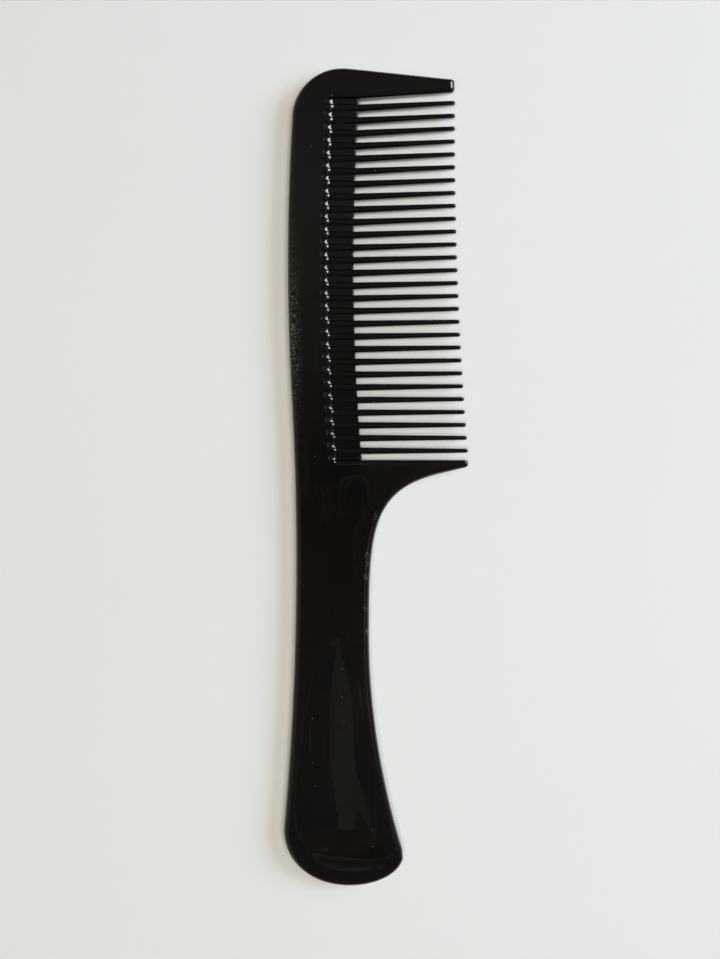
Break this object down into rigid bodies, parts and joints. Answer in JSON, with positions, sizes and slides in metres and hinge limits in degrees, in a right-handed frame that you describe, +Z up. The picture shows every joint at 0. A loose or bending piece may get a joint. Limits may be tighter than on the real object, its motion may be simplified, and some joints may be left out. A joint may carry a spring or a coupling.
{
  "type": "wide tooth comb",
  "caption": "Flat handled comb with a rounded back, a row of slim tapered teeth between two guard teeth, and a long flared handle with a hollow under the heel guard.",
  "frame": {"origin": "middle of the underside's bounding box, on the surface the comb lies on", "axes": "+X is the way the teeth point, +Y runs from the handle to the tip of the comb, +Z is up, out of the face the comb shows when it lies flat"},
  "size_m": [0.0488, 0.216, 0.005],
  "materials": {
    "spine_plastic": "polished black moulding",
    "handle_plastic": "polished black moulding",
    "guard_plastic": "polished black moulding",
    "tooth_plastic": "polished black moulding"
  },
  "bodies": {
    "root": {"back_spine": "spine_plastic", "handle": "handle_plastic", "tip_guard_tooth": "guard_plastic", "heel_guard_tooth": "guard_plastic", "tooth_01": "tooth_plastic", "tooth_02": "tooth_plastic", "tooth_03": "tooth_plastic", "tooth_04": "tooth_plastic", "tooth_05": "tooth_plastic", "tooth_06": "tooth_plastic", "tooth_07": "tooth_plastic", "tooth_08": "tooth_plastic", "tooth_09": "tooth_plastic", "tooth_10": "tooth_plastic", "tooth_11": "tooth_plastic", "tooth_12": "tooth_plastic", "tooth_13": "tooth_plastic", "tooth_14": "tooth_plastic", "tooth_15": "tooth_plastic", "tooth_16": "tooth_plastic", "tooth_17": "tooth_plastic", "tooth_18": "tooth_plastic", "tooth_19": "tooth_plastic", "tooth_20": "tooth_plastic", "tooth_21": "tooth_plastic", "tooth_22": "tooth_plastic", "tooth_23": "tooth_plastic", "tooth_24": "tooth_plastic", "tooth_25": "tooth_plastic", "tooth_26": "tooth_plastic", "tooth_27": "tooth_plastic", "tooth_28": "tooth_plastic"}
  },
  "joints": []
}
